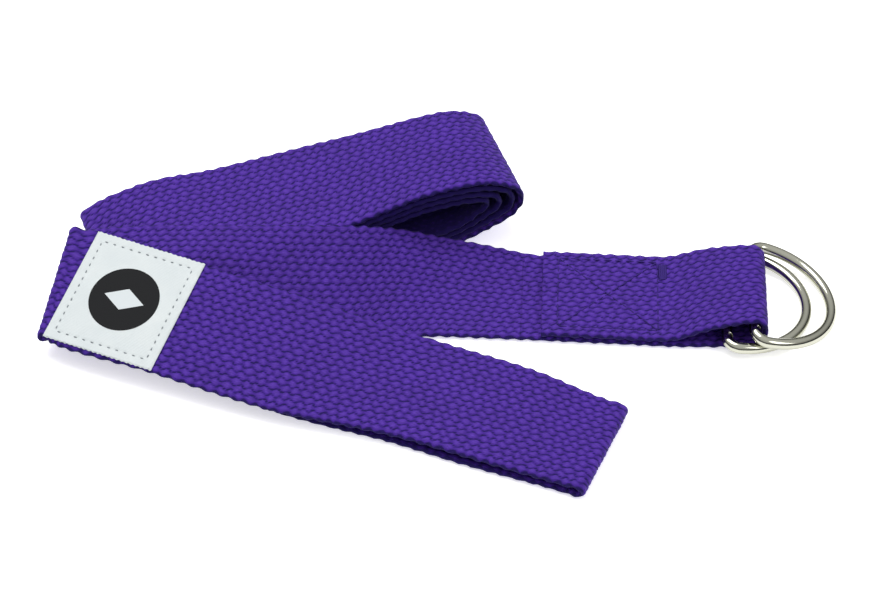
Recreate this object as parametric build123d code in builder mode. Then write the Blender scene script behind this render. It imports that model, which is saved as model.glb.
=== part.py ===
from build123d import *
import os
from math import asin, atan2, cos, degrees, hypot, radians, sin, sqrt

# A stretching strap: one length of flat webbing with two D-rings sewn into one end.
# It is folded for storage: a middle arm with the rings, a lower arm that folds back
# under itself, and an upper arm that is a flat roll of several turns.
# Millimetres, +Z up. The origin is on the floor under the middle of the sewn tail's cut
# end, +X runs along the middle arm to the rings, and +Y points to the side of the roll.
# The webbing is described by its middle surface, half a thickness inside its faces.

# ---- driving dimensions ----
webbing_width = 38.0
webbing_thickness = 1.8
layer_gap = 0.1  # air between runs that lie on each other

wire = 3.4  # diameter of the rings' wire
ring_side_play = 2.0  # inside the ring, beyond the webbing's width
ring_bow_offset = 2.7  # centre of the bow's arc, from the bar's axis
ring_corner_radius = 4.0  # of the wire's axis, where the bar meets the bow
ring_clearance = 0.4  # least air between a ring and anything beside it
bar_gap = 4.6  # air between the two bars, along the strap
bar_step = 0.1  # by which the upper bar stands less than one wire above the lower bar

tail_flat = 38.0  # sewn length of the folded-back tail, from its cut end
tail_ramp = 16.0  # length in which the tail climbs towards the top of the loop
taper_lead = 4.0  # past the flat tail, where the rings' bows start to squeeze the loop
loop_side_air = 0.5  # from the squeezed selvages to the lower ring's bow
tail_shoulder = 1.6  # how far the end of the climb stays below the top of the loop

label_length = 36.0  # along the webbing
label_thickness = 0.5
label_inset = 2.8  # of its stitching, from its edges
label_stitch_pitch, label_stitch_length = 2.6, 1.5
label_thread = 0.35
label_lift = 0.1  # air under the label

seam_start = 4.7  # first cross seam, from the tail's cut end
seam_margin = 3.3  # second cross seam, from the end of the sewn length
seam_inset = 3.4  # of the side seams, from the selvages
seam_stitch_pitch, seam_stitch_length = 3.6, 2.4
seam_thread = 0.5
tack_size = (2.4, 7.0, 0.7)  # dense knot of thread on the second cross seam
tack_offset = 11.0  # from the strap's centreline

fold_radius = webbing_thickness + layer_gap / 2  # outer radius of a tight fold
tight_wall = webbing_thickness - 0.01
floor_mid = webbing_thickness / 2  # middle surface of a run on the floor

# The folded layout, set out for webbing of this size. It grows in plan with the webbing's
# width and in height with its thickness, so that turns and runs keep clear of each other.
layout_width, layout_thickness = 38.0, 1.8
# Edges of the middle surface, station by station: (front selvage, ridge, rear selvage).
# The ridge is where the arm bends over the front edge of the roll.
middle_arm_edges = (
    ((0, -19, 0.9), (0, 0, 0.9), (0, 19, 0.9)),
    ((-12.7, -19.1, 0.9), (-12.7, 0, 1.2), (-12.7, 18.6, 3.6)),
    ((-22.8, -19.3, 0.95), (-22.8, 0, 2.2), (-22.8, 18.1, 6.1)),
    ((-31, -19.7, 1.1), (-31, -0.5, 3.4), (-31, 17.4, 8.1)),
    ((-43, -22.5, 1.9), (-43, -3.5, 6.8), (-43, 14.8, 12.6)),
    ((-57.8, -26.9, 2.9), (-57.8, -9.5, 10.6), (-57.8, 7.1, 19.5)),
    ((-73.3, -28.2, 2.9), (-73.3, 3.5, 19.2), (-73.3, 5.7, 19.8)),
    ((-103, -29.3, 2.9), (-103, -7.5, 18.45), (-103, 3.6, 19.7)),
    ((-115.4, -30.6, 5.0), (-115.4, -12.1, 16.1), (-115.4, 3.1, 19.6)),
    ((-123, -32.4, 6.6), (-123, -15.2, 14.2), (-123, 2.6, 19.2)),
    ((-133, -34.3, 6.8), (-133, -17.0, 12.4), (-133, 2.0, 18.3)),
    ((-145.8, -34.6, 5.4), (-142.9, -17.4, 11.25), (-139.9, 0.8, 17.4)),
)
# (front selvage, rear selvage)
lower_arm_edges = (
    ((-145.8, -34.6, 7.3), (-139.9, 0.8, 19.3)),
    ((-144.2, -35.9, 7.0), (-133.9, -0.9, 19.5)),
    ((-111.3, -48.1, 6.8), (-100.4, -13.9, 19.3)),
    ((-92, -54.6, 5.7), (-83, -19.7, 18.4)),
    ((-74.6, -59.7, 4.7), (-65.4, -24.0, 15.9)),
    ((-57, -63.0, 4.2), (-47, -27.6, 11.6)),
    ((-41.8, -66.3, 3.9), (-29.7, -30.3, 8.1)),
    ((-12.5, -76.2, 3.7), (-0.1, -39.9, 6.6)),
    ((11.4, -84.3, 3.7), (24.0, -48.7, 3.7)),
)
# Outline of the run on the floor, from the far fold to the fold under the roll.
floor_run_front = (
    (11.4, -84.3), (-21.1, -73.5), (-45.2, -64.8), (-58.3, -61.1),
    (-71.6, -57.0), (-90.7, -48.8), (-141.0, -27.3),
)
floor_run_rear = (
    (-140.0, 13.9), (-76.5, -13.6), (-57.5, -21.2), (-46.6, -25.0),
    (-33.0, -29.2), (-8.5, -37.6), (24.0, -48.7),
)

roll_heading = 20.6
roll_front = (-26.5, 21.3)  # the roll's front selvage, at u = 0 of the tables below
# The roll's outermost turn and its innermost one, paired, as (u, height) of the middle
# surface: along the bottom, round the curled-up right end and back along the top.
roll_outer = (
    (-60, 2.8), (-52, 2.4), (-45, 1.9), (-30, 1.0), (-12, 1.0), (-3, 1.9), (3.3, 3.8),
    (9.9, 6.4), (15.2, 8.7), (18.8, 11.2), (20.7, 15.0), (19.7, 18.7), (15.5, 21.8),
    (8.6, 24.2), (0, 24.5), (-11.8, 23.4), (-21.8, 20.9), (-33.7, 17.7), (-50, 17.2),
    (-70, 16.7),
)
roll_inner = (
    (-60, 8.5), (-52, 8.15), (-45, 7.65), (-30, 6.7), (-12, 6.8), (-4.6, 7.6), (0.6, 9.2),
    (4.3, 11.2), (7.0, 13.2), (9.0, 14.6), (9.8, 16.2), (8.9, 17.3), (5.9, 17.85),
    (1.6, 18.3), (-3.4, 18.1), (-12.2, 17.2), (-22.6, 14.6), (-34.2, 11.7), (-50, 11.4),
    (-70, 10.9),
)
roll_end_share = (0.0, 0.27, 0.65, 1.0)  # how far in each turn lies at the right end
roll_end_first, roll_end_last = 9, 12  # pairs of the tables that make the right end
# Left end of each turn, from its top run to the next turn's bottom run.
roll_left_ends = (
    ((-82, 16.5), (-88, 15.8), (-95, 14.1), (-103, 11.7), (-107.7, 8.6), (-105.4, 5.7),
     (-100, 4.75), (-93, 4.65), (-80, 4.7)),
    ((-80, 14.5), (-87, 13.8), (-93, 12.0), (-96.4, 9.6), (-94.6, 7.4), (-90, 6.6),
     (-84, 6.62), (-77, 6.62)),
    ((-76, 12.6), (-82, 12.3), (-83.35, 11.75), (-83.9, 10.4), (-83.35, 9.05), (-82, 8.5),
     (-79, 8.5), (-75, 8.5)),
)
roll_flat = (-76.0, 0.0)  # between these the runs are nearly straight
bend_step, run_step = 1.0, 6.0  # spacing of the roll's facets in bends and along runs
free_end = -62.0  # where the strap's free end lies, between the runs

half_width = webbing_width / 2
half_thickness = webbing_thickness / 2
wire_radius = wire / 2
bar_spacing = wire + bar_gap  # between the axes of the two bars
upper_bar_lift = wire - bar_step  # of the upper bar above the lower bar
up = Vector(0, 0, 1)
plan_ratio = webbing_width / layout_width
height_ratio = webbing_thickness / layout_thickness


def resize(points):
    """Brings a row of layout points, given as x, y and maybe a height, to real size."""
    return tuple(
        (x * plan_ratio, y * plan_ratio, *(z * height_ratio for z in height))
        for x, y, *height in points
    )


def resize_turn(points):
    """Brings a row of the roll's points, given as u and a height, to real size."""
    return tuple((u * plan_ratio, height * height_ratio) for u, height in points)


middle_arm_edges = tuple(resize(station) for station in middle_arm_edges)
lower_arm_edges = tuple(resize(station) for station in lower_arm_edges)
floor_run_front, floor_run_rear = resize(floor_run_front), resize(floor_run_rear)
roll_outer, roll_inner = resize_turn(roll_outer), resize_turn(roll_inner)
roll_left_ends = tuple(resize_turn(turn) for turn in roll_left_ends)
roll_front, = resize([roll_front])
roll_flat = tuple(u * plan_ratio for u in roll_flat)
free_end *= plan_ratio
far_fold_radius = (lower_arm_edges[-1][0][2] + half_thickness) / 2

os.makedirs("parts", exist_ok=True)


def save(piece, label):
    """Labels a finished piece and writes it to its own file."""
    piece.part.label = label
    export_step(piece.part, f"parts/{label}.step")


def section_plane(front, rear):
    """Upright plane through two selvage points: x from front to rear, y the thickness."""
    front, rear = Vector(*front), Vector(*rear)
    across = (rear - front).normalized()
    return Plane(origin=front, x_dir=across, z_dir=across.cross(up).normalized())


def straight_section(front, rear):
    """Sketches the section of flat webbing between two selvage points."""
    width = (Vector(*rear) - Vector(*front)).length
    with BuildSketch(section_plane(front, rear)) as section:
        with Locations((width / 2, 0)):
            Rectangle(width, webbing_thickness)
    return section


def bent_section(front, ridge, rear):
    """Sketches the section of webbing that bends along a ridge between its selvages."""
    plane = section_plane(front, rear)
    width = (Vector(*rear) - Vector(*front)).length
    middle = plane.to_local_coords(Vector(*ridge))
    corners = [
        (0, -half_thickness), (middle.X, middle.Y - half_thickness), (width, -half_thickness),
        (width, half_thickness), (middle.X, middle.Y + half_thickness), (0, half_thickness),
    ]
    with BuildSketch(plane) as section:
        with BuildLine():
            Polyline(corners, close=True)
        make_face()
    return section


def half_fold(front, rear, inner, outer, start):
    """Half tube round the line between two points, bulging beyond the run's end."""
    front, rear = Vector(*front), Vector(*rear)
    along = rear - front
    outward = along.cross(up).normalized() * start
    with BuildSketch(Plane(origin=front, x_dir=outward, z_dir=along.normalized())) as ring:
        Circle(outer)
        Circle(inner, mode=Mode.SUBTRACT)
        with Locations((-outer, 0)):
            Rectangle(2 * outer, 2 * outer, mode=Mode.SUBTRACT)
    extrude(ring.sketch, amount=along.length)


# ---- rings ----
ring_half_width = (webbing_width + ring_side_play + wire) / 2
ring_depth = ring_half_width + ring_bow_offset  # bar's axis to the tip of the D
bar_half_length = sqrt(
    (ring_half_width - ring_corner_radius) ** 2 - (ring_corner_radius - ring_bow_offset) ** 2
)
lower_bar_height = webbing_thickness + wire_radius + ring_clearance
upper_bar_height = lower_bar_height + upper_bar_lift
loop_bend = wire_radius + ring_clearance + layer_gap  # inner radius round the upper bar
loop_top = upper_bar_height + loop_bend + half_thickness
upper_bar_x = tail_flat + tail_ramp + bar_spacing + 2 * layer_gap + half_thickness
lower_bar_x = upper_bar_x - bar_spacing
loop_end = upper_bar_x + loop_bend + half_thickness


def d_ring(bar_x, bar_height):
    """One welded D-ring of round wire, its tip resting on the floor."""
    drop = asin((bar_height - wire_radius) / ring_depth)
    plane = Plane(
        origin=(bar_x, 0, bar_height),
        x_dir=(cos(drop), 0, -sin(drop)),
        z_dir=(sin(drop), 0, cos(drop)),
    )
    reach = hypot(ring_corner_radius - ring_bow_offset, bar_half_length)
    tangent_x = ring_bow_offset + (ring_corner_radius - ring_bow_offset) * ring_half_width / reach
    tangent_y = bar_half_length * ring_half_width / reach
    corner_x = ring_corner_radius * (1 - cos(radians(45)))
    corner_y = bar_half_length + ring_corner_radius * sin(radians(45))
    with BuildPart() as ring:
        with BuildLine(plane) as outline:
            Line((0, -bar_half_length), (0, bar_half_length))
            ThreePointArc((0, bar_half_length), (corner_x, corner_y), (tangent_x, tangent_y))
            ThreePointArc((tangent_x, tangent_y), (ring_depth, 0), (tangent_x, -tangent_y))
            ThreePointArc((tangent_x, -tangent_y), (corner_x, -corner_y), (0, -bar_half_length))
        with BuildSketch(Plane(origin=(bar_x, 0, bar_height), z_dir=(0, 1, 0))):
            Circle(wire_radius)
        sweep(path=outline.wires()[0])
    return ring


upper_ring = d_ring(upper_bar_x, upper_bar_height)
save(upper_ring, "upper_d_ring")
lower_ring = d_ring(lower_bar_x, lower_bar_height)
save(lower_ring, "lower_d_ring")

# ---- webbing: the sewn loop round the rings' bars ----
loop_radius = loop_bend + half_thickness
tail_mid = floor_mid + webbing_thickness + layer_gap
shoulder_height = loop_top - tail_shoulder
loop_tip = loop_end + half_thickness
taper_start = tail_flat + taper_lead
bow_reach = loop_tip - lower_bar_x - ring_bow_offset
bow_inside = sqrt((ring_half_width - wire_radius) ** 2 - bow_reach ** 2)
loop_end_half_width = min(bow_inside - loop_side_air, half_width)
with BuildPart() as ring_loop:
    with BuildSketch(Plane(origin=(0, half_width, 0), x_dir=(1, 0, 0), z_dir=(0, -1, 0))):
        with BuildLine() as loop_line:
            Polyline((0, floor_mid), (loop_end - loop_radius, floor_mid))
            RadiusArc(
                (loop_end - loop_radius, floor_mid), (loop_end, floor_mid + loop_radius),
                -loop_radius,
            )
            Line((loop_end, floor_mid + loop_radius), (loop_end, loop_top - loop_radius))
            RadiusArc(
                (loop_end, loop_top - loop_radius), (loop_end - loop_radius, loop_top),
                -loop_radius,
            )
            Spline(
                [(upper_bar_x, loop_top), (lower_bar_x, shoulder_height),
                 (tail_flat, tail_mid)],
                tangents=[(-1, 0), (-1, 0)],
            )
            Line((tail_flat, tail_mid), (0, tail_mid))
        trace(line_width=webbing_thickness)
    extrude(amount=webbing_width)
    for side in (-1, 1):
        with BuildSketch():
            with BuildLine():
                Polyline(
                    (taper_start, side * half_width), (loop_tip, side * loop_end_half_width),
                    (loop_tip, side * webbing_width), (taper_start, side * webbing_width),
                    close=True,
                )
            make_face()
        extrude(amount=loop_top + webbing_thickness, mode=Mode.SUBTRACT)
save(ring_loop, "webbing_ring_loop")

# ---- webbing: arms ----
with BuildPart() as middle_arm:
    for near, far in zip(middle_arm_edges, middle_arm_edges[1:]):
        first = bent_section(*near)
        second = bent_section(*far)
        loft([first.sketch, second.sketch], ruled=True)
save(middle_arm, "webbing_middle_arm")

with BuildPart() as lower_arm_top:
    for near, far in zip(lower_arm_edges, lower_arm_edges[1:]):
        first = straight_section(*near)
        second = straight_section(*far)
        loft([first.sketch, second.sketch], ruled=True)
save(lower_arm_top, "webbing_lower_arm_top")

with BuildPart() as lower_arm_bottom:
    with BuildSketch():
        with BuildLine():
            Polyline([*floor_run_front, *floor_run_rear], close=True)
        make_face()
    extrude(amount=webbing_thickness)
save(lower_arm_bottom, "webbing_lower_arm_bottom")

# ---- webbing: folds ----
first_top, first_bottom = lower_arm_edges[0], middle_arm_edges[-1]
left_front = [(a + b) / 2 for a, b in zip(first_top[0], first_bottom[0])]
left_rear = [(a + b) / 2 for a, b in zip(first_top[1], first_bottom[2])]
with BuildPart() as left_fold:
    half_fold(left_front, left_rear, fold_radius - tight_wall, fold_radius, -1)
save(left_fold, "webbing_left_fold")

with BuildPart() as right_fold:
    far_front = (*lower_arm_edges[-1][0][:2], far_fold_radius)
    far_rear = (*lower_arm_edges[-1][1][:2], far_fold_radius)
    half_fold(far_front, far_rear, far_fold_radius - webbing_thickness, far_fold_radius, 1)
save(right_fold, "webbing_right_fold")

crease_front = (*floor_run_front[-1], fold_radius)
crease_rear = (*floor_run_rear[0], fold_radius)
roll_along = Vector(cos(radians(roll_heading)), sin(radians(roll_heading)), 0)
roll_across = Vector(-roll_along.Y, roll_along.X, 0)
roll_origin = Vector(*roll_front)
join_front = roll_origin + roll_along * roll_outer[0][0]
join_rear = join_front + roll_across * webbing_width
with BuildPart() as under_fold:
    half_fold(crease_front, crease_rear, fold_radius - tight_wall, fold_radius, -1)
    with BuildSketch(Plane.XY.offset(roll_outer[0][1] - half_thickness)):
        with BuildLine():
            Polyline(
                crease_front[:2], (join_front.X, join_front.Y), (join_rear.X, join_rear.Y),
                crease_rear[:2], close=True,
            )
        make_face()
    extrude(amount=webbing_thickness)
save(under_fold, "webbing_under_fold")

# ---- webbing: the roll ----
def turn_points(turn):
    """Middle surface of one turn: bottom run, right end and top run."""
    points = []
    for index, (outer, inner) in enumerate(zip(roll_outer, roll_inner)):
        share = turn / (len(roll_end_share) - 1)
        if roll_end_first <= index <= roll_end_last:
            share = roll_end_share[turn]
        points.append(tuple(o + (i - o) * share for o, i in zip(outer, inner)))
    return points


spiral = []
for turn in range(len(roll_end_share)):
    spiral += turn_points(turn)
    if turn < len(roll_left_ends):
        spiral += roll_left_ends[turn]
spiral = spiral[:-1] + [(free_end, spiral[-2][1] + (spiral[-1][1] - spiral[-2][1]) / 2)]
roll_plane = Plane(
    origin=(roll_front[0], roll_front[1], 0), x_dir=roll_along, z_dir=roll_across * -1
)
middle = Edge.make_spline([Vector(*point) for point in spiral])
upper_side, lower_side = [], []
distance = 0.0
while distance < middle.length:
    share = distance / middle.length
    point, tangent = middle @ share, middle % share
    normal = Vector(-tangent.Y, tangent.X) * half_thickness
    upper_side.append((point.X + normal.X, point.Y + normal.Y))
    lower_side.append((point.X - normal.X, point.Y - normal.Y))
    curved = point.X < roll_flat[0] or point.X > roll_flat[1]
    distance += bend_step if curved else run_step
with BuildPart() as roll:
    with BuildSketch(roll_plane):
        with BuildLine():
            Polyline([*upper_side, *reversed(lower_side)], close=True)
        make_face()
    extrude(amount=-webbing_width)
save(roll, "webbing_roll")

# ---- label and thread ----
label_rise = half_thickness + label_lift + label_thickness / 2
label_near, label_far = lower_arm_edges[1], lower_arm_edges[2]
label_side = (Vector(*label_far[1]) - Vector(*label_near[1])).normalized()
label_across = (Vector(*label_near[1]) - Vector(*label_near[0])).normalized()
label_normal = label_side.cross(label_across).normalized()
label_centre = sum((Vector(*p) for p in (*label_near, *label_far)), Vector()) / 4
label_plane = Plane(
    origin=label_centre + label_normal * label_rise, x_dir=label_side, z_dir=label_normal
)
with BuildPart() as label:
    with BuildSketch(label_plane.offset(-label_thickness / 2)):
        Rectangle(label_length, webbing_width)
    extrude(amount=label_thickness)
save(label, "label")


def seam_marks(start, finish, pitch):
    """Middles of the stitches of a straight seam, with the seam's direction in degrees."""
    span = hypot(finish[0] - start[0], finish[1] - start[1])
    count = max(1, round(span / pitch))
    angle = degrees(atan2(finish[1] - start[1], finish[0] - start[0]))
    return [
        (Location((start[0] + (finish[0] - start[0]) * (k + 0.5) / count,
                   start[1] + (finish[1] - start[1]) * (k + 0.5) / count, 0), (0, 0, angle)))
        for k in range(count)
    ]


def rectangle_seams(x_from, x_to, y_half):
    """The four sides of a stitched rectangle, each from corner to corner."""
    corners = [(x_from, -y_half), (x_to, -y_half), (x_to, y_half), (x_from, y_half)]
    return list(zip(corners, corners[1:] + corners[:1]))


label_x = label_length / 2 - label_inset
with BuildPart() as label_stitching:
    with Locations(label_plane.offset(label_thickness / 2 + label_thread / 2)):
        for start, finish in rectangle_seams(-label_x, label_x, half_width - label_inset):
            with Locations(*seam_marks(start, finish, label_stitch_pitch)):
                Box(label_stitch_length, label_thread, label_thread)
save(label_stitching, "label_stitching")

seam_end = tail_flat - seam_margin
seam_half = half_width - seam_inset
seam_height = tail_mid + half_thickness + seam_thread / 2
seams = rectangle_seams(seam_start, seam_end, seam_half)
seams += [
    ((seam_start + seam_inset, -seam_half + seam_inset),
     (seam_end - seam_inset, seam_half - seam_inset)),
    ((seam_start + seam_inset, seam_half - seam_inset),
     (seam_end - seam_inset, -seam_half + seam_inset)),
]
with BuildPart() as box_stitching:
    with Locations((0, 0, seam_height)):
        for start, finish in seams:
            with Locations(*seam_marks(start, finish, seam_stitch_pitch)):
                Box(seam_stitch_length, seam_thread, seam_thread)
save(box_stitching, "box_stitching")

tack_height = tail_mid + half_thickness + (tack_size[2] + layer_gap) / 2
with BuildPart() as bar_tack:
    with Locations((seam_end + seam_inset / 2 + tack_size[0] / 2, tack_offset, tack_height)):
        Box(*tack_size)
save(bar_tack, "bar_tack")
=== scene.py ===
"""Stretching strap: the looks of a folded webbing strap with two sewn-in D-rings.

Every length is in metres unless its name ends in _MM. The webbing is laid out once as a
long ribbon of rows, each row running from the front selvage to the rear one, and is then
cut into stretches that are meshed with their woven relief.
"""

import logging
import math
from dataclasses import dataclass, field
from enum import Enum
from typing import Iterable, List, Sequence, Tuple

import bmesh
import bpy
import numpy as np
from mathutils import Matrix, Vector


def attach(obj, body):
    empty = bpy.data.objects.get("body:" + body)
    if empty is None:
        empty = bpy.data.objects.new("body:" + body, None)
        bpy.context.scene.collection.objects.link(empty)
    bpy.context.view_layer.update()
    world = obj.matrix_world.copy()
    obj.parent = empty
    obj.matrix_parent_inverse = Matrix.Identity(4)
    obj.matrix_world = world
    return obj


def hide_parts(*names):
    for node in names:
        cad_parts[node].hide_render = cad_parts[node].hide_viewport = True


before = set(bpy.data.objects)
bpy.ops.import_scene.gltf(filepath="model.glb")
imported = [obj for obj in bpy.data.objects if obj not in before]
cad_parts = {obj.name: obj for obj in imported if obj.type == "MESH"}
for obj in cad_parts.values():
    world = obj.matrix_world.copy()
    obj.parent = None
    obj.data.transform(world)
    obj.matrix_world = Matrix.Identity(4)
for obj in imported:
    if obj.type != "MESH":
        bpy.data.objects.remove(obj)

log = logging.getLogger("strap")

MM = 0.001

# ---- webbing ----
WIDTH_MM = 38.0
HALF_MM = WIDTH_MM / 2
THICK_MM = 1.8
HALF_THICK_MM = THICK_MM / 2
GAP_MM = 0.1
PITCH_MM = THICK_MM + GAP_MM
ROWS_ACROSS = 18  # ribs of the weave
GRAIN_MM = 3.2  # length of one float of yarn
RELIEF_MM = 0.34
SELVAGE_MM = 1.0  # rounding of the woven edge
PRINT_MM = 0.06  # how deep the printed shapes are
SHADE_FROM_MM, SHADE_OVER_MM = 8.0, 14.0  # where a hidden stretch starts to darken
SWELL = 0.17  # how far the rows widen and narrow, as a share of a row
SWELL_SHADE = 0.2  # how much lower the narrow places are
FLOAT_POWER, CROWN_POWER = 2.4, 0.8  # shape of a float from gap to crown
# Waves that make the floats uneven: height, and turns per rib and per millimetre.
UNEVEN_WAVES = ((0.9, 2.1, 0.23), (0.6, -1.3, 0.61))
SCALLOP_MM = 0.5  # depth of the woven edge's scallops
SCALLOP_OUT_MM = 0.42  # how far their crests stand out
SCALLOP_PITCH_MM = 4.4
SCALLOP_FROM_MM, SCALLOP_OVER_MM = 16.5, 2.5  # from the middle, where they set in
EDGE_COLUMNS_MM = (0.0, 0.08, 0.25, 0.5, 0.8)  # mesh columns, in from each selvage
INNER_FROM_MM, INNER_COLUMNS = 1.1, 80
TANGENT_STEP_MM = 0.15  # step by which the surface's direction is measured
RIM_SHADE = 0.45  # how far the woven edge takes the colour of the gaps
FINE_STEP_MM = 0.62
COARSE_STEP_MM = 1.25

# ---- rings ----
WIRE_MM = 3.4
RING_HALF_MM = 21.7  # bow radius of the wire's axis
RING_DEPTH_MM = 24.4
CORNER_MM = 4.0
UPPER_BAR = (63.1, 7.2)  # x and height of its axis
LOWER_BAR = (55.1, 3.9)
LOOP_RADIUS_MM = 3.1
LOOP_LOW_MM = 0.9
LOOP_HIGH_MM = 10.3
LOOP_TIP_HALF_MM = 17.2
TAPER_MM = (42, 67.1)  # where the loop narrows from its full width to its tip
# The folded-back tail from its cut end to the upper bar: x and rise.
TAIL_RISE = (
    (0, 0.0), (12, 0.0), (24, 0.0), (34, 0.0), (38, 0.25), (42, 1.5), (46, 3.3),
    (50.5, 4.9), (55.1, 6.1), (59.5, 7.1),
)
BED_STATIONS = (58, 50, 40, 28, 14, 4)  # under the tail, back to its cut end

# Edges of the middle surface: (front selvage, ridge, rear selvage), in millimetres.
MIDDLE_ARM = (
    ((-6, -19, 0.9), (-6, 0, 0.9), (-6, 18.9, 1.9)),
    ((-12.7, -19.1, 0.9), (-12.7, 0, 1.2), (-12.7, 18.6, 3.6)),
    ((-22.8, -19.3, 0.95), (-22.8, 0, 2.2), (-22.8, 18.1, 6.1)),
    ((-31, -19.7, 1.1), (-31, -0.5, 3.4), (-31, 17.4, 8.1)),
    ((-43, -22.5, 1.9), (-43, -3.5, 6.8), (-43, 14.8, 12.6)),
    ((-57.8, -26.9, 2.9), (-57.8, -9.5, 10.6), (-57.8, 7.1, 19.5)),
    ((-73.3, -28.2, 2.9), (-73.3, 3.5, 19.2), (-73.3, 5.7, 19.8)),
    ((-103, -29.3, 2.9), (-103, -7.5, 18.45), (-103, 3.6, 19.7)),
    ((-115.4, -30.6, 5.0), (-115.4, -12.1, 16.1), (-115.4, 3.1, 19.6)),
    ((-123, -32.4, 6.6), (-123, -15.2, 14.2), (-123, 2.6, 19.2)),
    ((-133, -34.3, 6.8), (-133, -17.0, 12.4), (-133, 2.0, 18.3)),
    ((-142.5, -34.5, 5.9), (-140, -17.4, 11.6), (-137.5, 1.3, 17.7)),
)
LEFT_CREASE = ((-145.8, -34.6, 6.35), (-139.9, 0.8, 18.35))
LOWER_ARM = (
    ((-144.9, -35.3, 7.2), (-137.3, -0.1, 19.4)),
    ((-144.2, -35.9, 7.0), (-133.9, -0.9, 19.5)),
    ((-111.3, -48.1, 6.8), (-100.4, -13.9, 19.3)),
    ((-92, -54.6, 5.7), (-83, -19.7, 18.4)),
    ((-74.6, -59.7, 4.7), (-65.4, -24.0, 15.9)),
    ((-57, -63.0, 4.2), (-47, -27.6, 11.6)),
    ((-41.8, -66.3, 3.9), (-29.7, -30.3, 8.1)),
    ((-12.5, -76.2, 3.7), (-0.1, -39.9, 6.6)),
    ((8.4, -83.3, 3.7), (21.0, -47.7, 3.75)),
)
RIGHT_CREASE = ((11.4, -84.3, 2.3), (24.0, -48.7, 2.3))
FLOOR_RUN = (
    ((8.4, -83.2), (21.0, -47.6)), ((-21.1, -73.5), (-8.5, -37.6)),
    ((-45.2, -64.8), (-33.0, -29.2)), ((-58.3, -61.1), (-46.6, -25.0)),
    ((-71.6, -57.0), (-57.5, -21.2)), ((-90.7, -48.8), (-76.5, -13.6)),
    ((-137.6, -28.7), (-134.0, 11.3)),
)
UNDER_CREASE = ((-141.0, -27.3, 1.85), (-140.0, 13.9, 1.85))

ROLL_HEADING = 20.6
ROLL_FRONT = (-26.5, 21.3)
ROLL_OUTER = (
    (-60, 2.8), (-52, 2.4), (-45, 1.9), (-30, 1.0), (-12, 1.0), (-3, 1.9), (3.3, 3.8),
    (9.9, 6.4), (15.2, 8.7), (18.8, 11.2), (20.7, 15.0), (19.7, 18.7), (15.5, 21.8),
    (8.6, 24.2), (0, 24.5), (-11.8, 23.4), (-21.8, 20.9), (-33.7, 17.7), (-50, 17.2),
    (-70, 16.7),
)
ROLL_INNER = (
    (-60, 8.5), (-52, 8.15), (-45, 7.65), (-30, 6.7), (-12, 6.8), (-4.6, 7.6), (0.6, 9.2),
    (4.3, 11.2), (7.0, 13.2), (9.0, 14.6), (9.8, 16.2), (8.9, 17.3), (5.9, 17.85),
    (1.6, 18.3), (-3.4, 18.1), (-12.2, 17.2), (-22.6, 14.6), (-34.2, 11.7), (-50, 11.4),
    (-70, 10.9),
)
ROLL_END_SHARE = (0.0, 0.27, 0.65, 1.0)
ROLL_END_PAIRS = range(9, 13)
ROLL_LEFT_ENDS = (
    ((-82, 16.5), (-88, 15.8), (-95, 14.1), (-103, 11.7), (-107.7, 8.6), (-105.4, 5.7),
     (-100, 4.75), (-93, 4.65), (-80, 4.7)),
    ((-80, 14.5), (-87, 13.8), (-93, 12.0), (-96.4, 9.6), (-94.6, 7.4), (-90, 6.6),
     (-84, 6.62), (-77, 6.62)),
    ((-76, 12.6), (-82, 12.3), (-83.35, 11.75), (-83.9, 10.4), (-83.35, 9.05), (-82, 8.5),
     (-79, 8.5), (-75, 8.5)),
)
ROLL_TURNED = 5  # rows past the first turn's top run, on the roll's left end
ROLL_FREE_END = (-62.0, 10.8)
# Share by which the roll's rear side is taller than its front side, against u.
ROLL_REAR_RISE = (
    (-95, 0.09), (-70, 0.034), (-50, 0.085), (-36, 0.14), (-30, 0.12), (-21.8, 0.0),
    (-9.8, -0.075), (0, -0.055), (10, -0.035), (20, 0.0),
)

# ---- camera: the photograph's viewpoint ----
CAMERA_AT = (-0.01582, -0.73473, 0.63797)
CAMERA_LOOK = (-0.0131, 0.7529, -0.6580)
CAMERA_ROLL = math.radians(1.99)
CAMERA_LENS = 130.2
SENSOR_WIDTH = 36.0


class Body(str, Enum):
    """Rigid bodies of the mechanism."""

    STRAP = "strap"
    UPPER = "upper_ring"
    LOWER = "lower_ring"


class Slot(str, Enum):
    """Material slots of the record."""

    WEBBING = "webbing"
    METAL = "ring_metal"
    LABEL = "label_cloth"
    LABEL_THREAD = "label_thread"
    SEAM = "seam_thread"


def linear(red: float, green: float, blue: float) -> Tuple[float, float, float, float]:
    """Turns an 8-bit display colour into a linear shader colour.

    Args:
        red, green, blue: display values from 0 to 255.

    Returns:
        Linear red, green, blue and full alpha.
    """
    def one(v: float) -> float:
        v /= 255
        return v / 12.92 if v <= 0.04045 else ((v + 0.055) / 1.055) ** 2.4

    return one(red), one(green), one(blue), 1.0


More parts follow.
